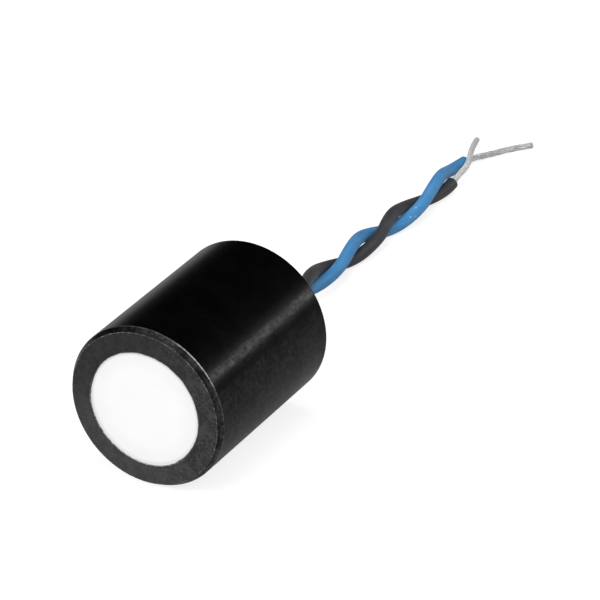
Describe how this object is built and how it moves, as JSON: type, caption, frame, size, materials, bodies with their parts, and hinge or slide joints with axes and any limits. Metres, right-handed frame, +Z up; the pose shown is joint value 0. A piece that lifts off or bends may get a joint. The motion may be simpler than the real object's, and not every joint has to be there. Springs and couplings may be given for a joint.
{
  "type": "ultrasonic transducer",
  "caption": "Short tubular ultrasonic transducer with a white acoustic face in a black housing and a twisted blue and black lead pair with bare ends.",
  "frame": {"origin": "bottom centre of the housing's box as it lies on its side: midway along the barrel, on the surface it lies on", "axes": "+Z up, +Y along the barrel from the radiating face to the leads, +X to the right seen from the front"},
  "size_m": [0.016, 0.0797, 0.016],
  "materials": {
    "housing": "moulded black plastic, satin barrel, front ground flat and grey",
    "matching_layer": "white filled resin, ground flat, matt",
    "edge_bond": "pale cured adhesive",
    "bond_film": "clear amber epoxy film",
    "ceramic": "fired piezoelectric ceramic, cream, matt",
    "silver_film": "fired silver film, dull",
    "sleeve_rubber": "soft grey rubber",
    "solder": "tin solder, bright",
    "foam": "closed-cell foam, dark grey",
    "potting": "black potting resin, smooth",
    "blue_insulation": "blue flexible insulation, satin",
    "black_insulation": "charcoal black flexible insulation, satin",
    "tinned_strands": "tinned copper strands, twisted"
  },
  "bodies": {
    "root": {"housing": "housing", "matching_layer": "matching_layer", "edge_bond": "edge_bond", "bond_film": "bond_film", "ceramic_disc": "ceramic", "front_electrode": "silver_film", "rear_electrode": "silver_film", "decoupling_sleeve": "sleeve_rubber", "rear_solder": "solder", "tab_solder": "solder", "backing_disc": "foam", "potting": "potting", "blue_root": "blue_insulation", "black_root": "black_insulation", "blue_core": "tinned_strands", "black_core": "tinned_strands", "blue_lead": "blue_insulation", "black_lead": "black_insulation", "blue_bare_end": "tinned_strands", "black_bare_end": "tinned_strands"}
  },
  "joints": []
}
